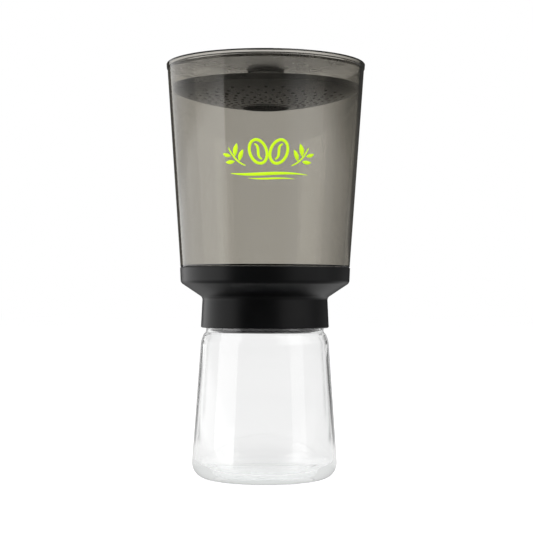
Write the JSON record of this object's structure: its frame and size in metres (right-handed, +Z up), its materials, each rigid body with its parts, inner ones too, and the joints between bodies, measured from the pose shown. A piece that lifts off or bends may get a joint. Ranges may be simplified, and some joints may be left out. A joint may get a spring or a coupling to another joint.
{
  "type": "cold brew coffee maker",
  "caption": "Cold brew coffee maker: a smoky tapered brewing container with a lid, a perforated rain dish and a drain valve in a black base, standing on a glass carafe.",
  "frame": {"origin": "centre of the carafe's foot ring, on the surface it stands on", "axes": "+Z up along the common axis of carafe and brewer; the front with the print faces -Y"},
  "size_m": [0.1348, 0.1348, 0.2842],
  "materials": {
    "clear_glass": "clear blown glass",
    "smoked_plastic": "clear smoky grey plastic, polished",
    "black_plastic": "satin black moulded plastic",
    "silicone": "soft dark silicone",
    "steel": "stainless steel"
  },
  "bodies": {
    "carafe_glass": {"carafe": "clear_glass"},
    "plunger": {"plunger_cup": "black_plastic", "rim_pad": "silicone", "valve_stem": "black_plastic", "poppet_seal": "silicone", "poppet_cap": "black_plastic"},
    "brewer": {"brew_container": "smoked_plastic", "base_housing": "black_plastic", "floor_pan": "black_plastic", "floor_gasket": "silicone", "seam_gasket": "silicone", "base_screws": "steel", "valve_guide": "black_plastic", "valve_spring": "steel", "neck_ring": "silicone"},
    "filter": {"filter_grid": "black_plastic", "filter_mesh": "steel", "filter_ring": "black_plastic", "filter_gasket": "silicone", "filter_knob": "black_plastic"},
    "rainmaker": {"rainmaker_dish": "black_plastic", "rainmaker_knob": "black_plastic"},
    "lid": {"mouth_lid": "smoked_plastic", "lid_knob": "black_plastic"}
  },
  "joints": [
    {"name": "brewer_lift", "type": "slide", "parent": "carafe_glass", "child": "plunger", "axis": [0, 0, 1], "range_m": [0, 0.06]},
    {"name": "valve_stroke", "type": "slide", "parent": "plunger", "child": "brewer", "axis": [0, 0, 1], "range_m": [0, 0.0039], "stiffness_N_per_m": 150, "springref_m": 0.01, "deforming": ["valve_spring"]},
    {"name": "filter_lift", "type": "slide", "parent": "brewer", "child": "filter", "axis": [0, 0, 1], "range_m": [0, 0.1]},
    {"name": "rainmaker_lift", "type": "slide", "parent": "brewer", "child": "rainmaker", "axis": [0, 0, 1], "range_m": [0, 0.06]},
    {"name": "lid_lift", "type": "slide", "parent": "rainmaker", "child": "lid", "axis": [0, 0, 1], "range_m": [0, 0.06]}
  ]
}
